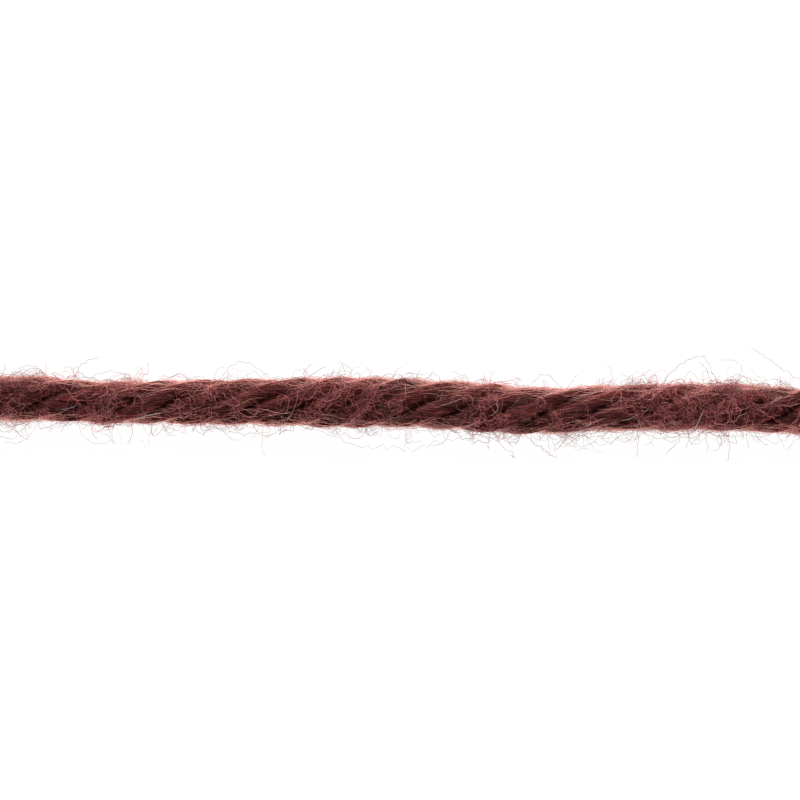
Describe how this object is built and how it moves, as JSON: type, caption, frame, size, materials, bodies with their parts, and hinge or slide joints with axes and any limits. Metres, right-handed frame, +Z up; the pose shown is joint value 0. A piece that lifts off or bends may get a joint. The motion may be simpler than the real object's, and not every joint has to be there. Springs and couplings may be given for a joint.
{
  "type": "knitting yarn strand",
  "caption": "Cut length of thick plied wool knitting yarn, a straight strand of twisted plies lying on a surface, dark reddish brown, slightly hairy.",
  "frame": {"origin": "middle of the strand's bounding box, on the plane that it rests on", "axes": "+X along the strand from one cut end to the other, +Z up from the surface that it rests on, +Y across the strand"},
  "size_m": [0.072, 0.004, 0.0033],
  "materials": {
    "dyed_wool": "matt, hairy woollen-spun wool, dark reddish brown"
  },
  "bodies": {
    "root": {"yarn": "dyed_wool"}
  },
  "joints": []
}
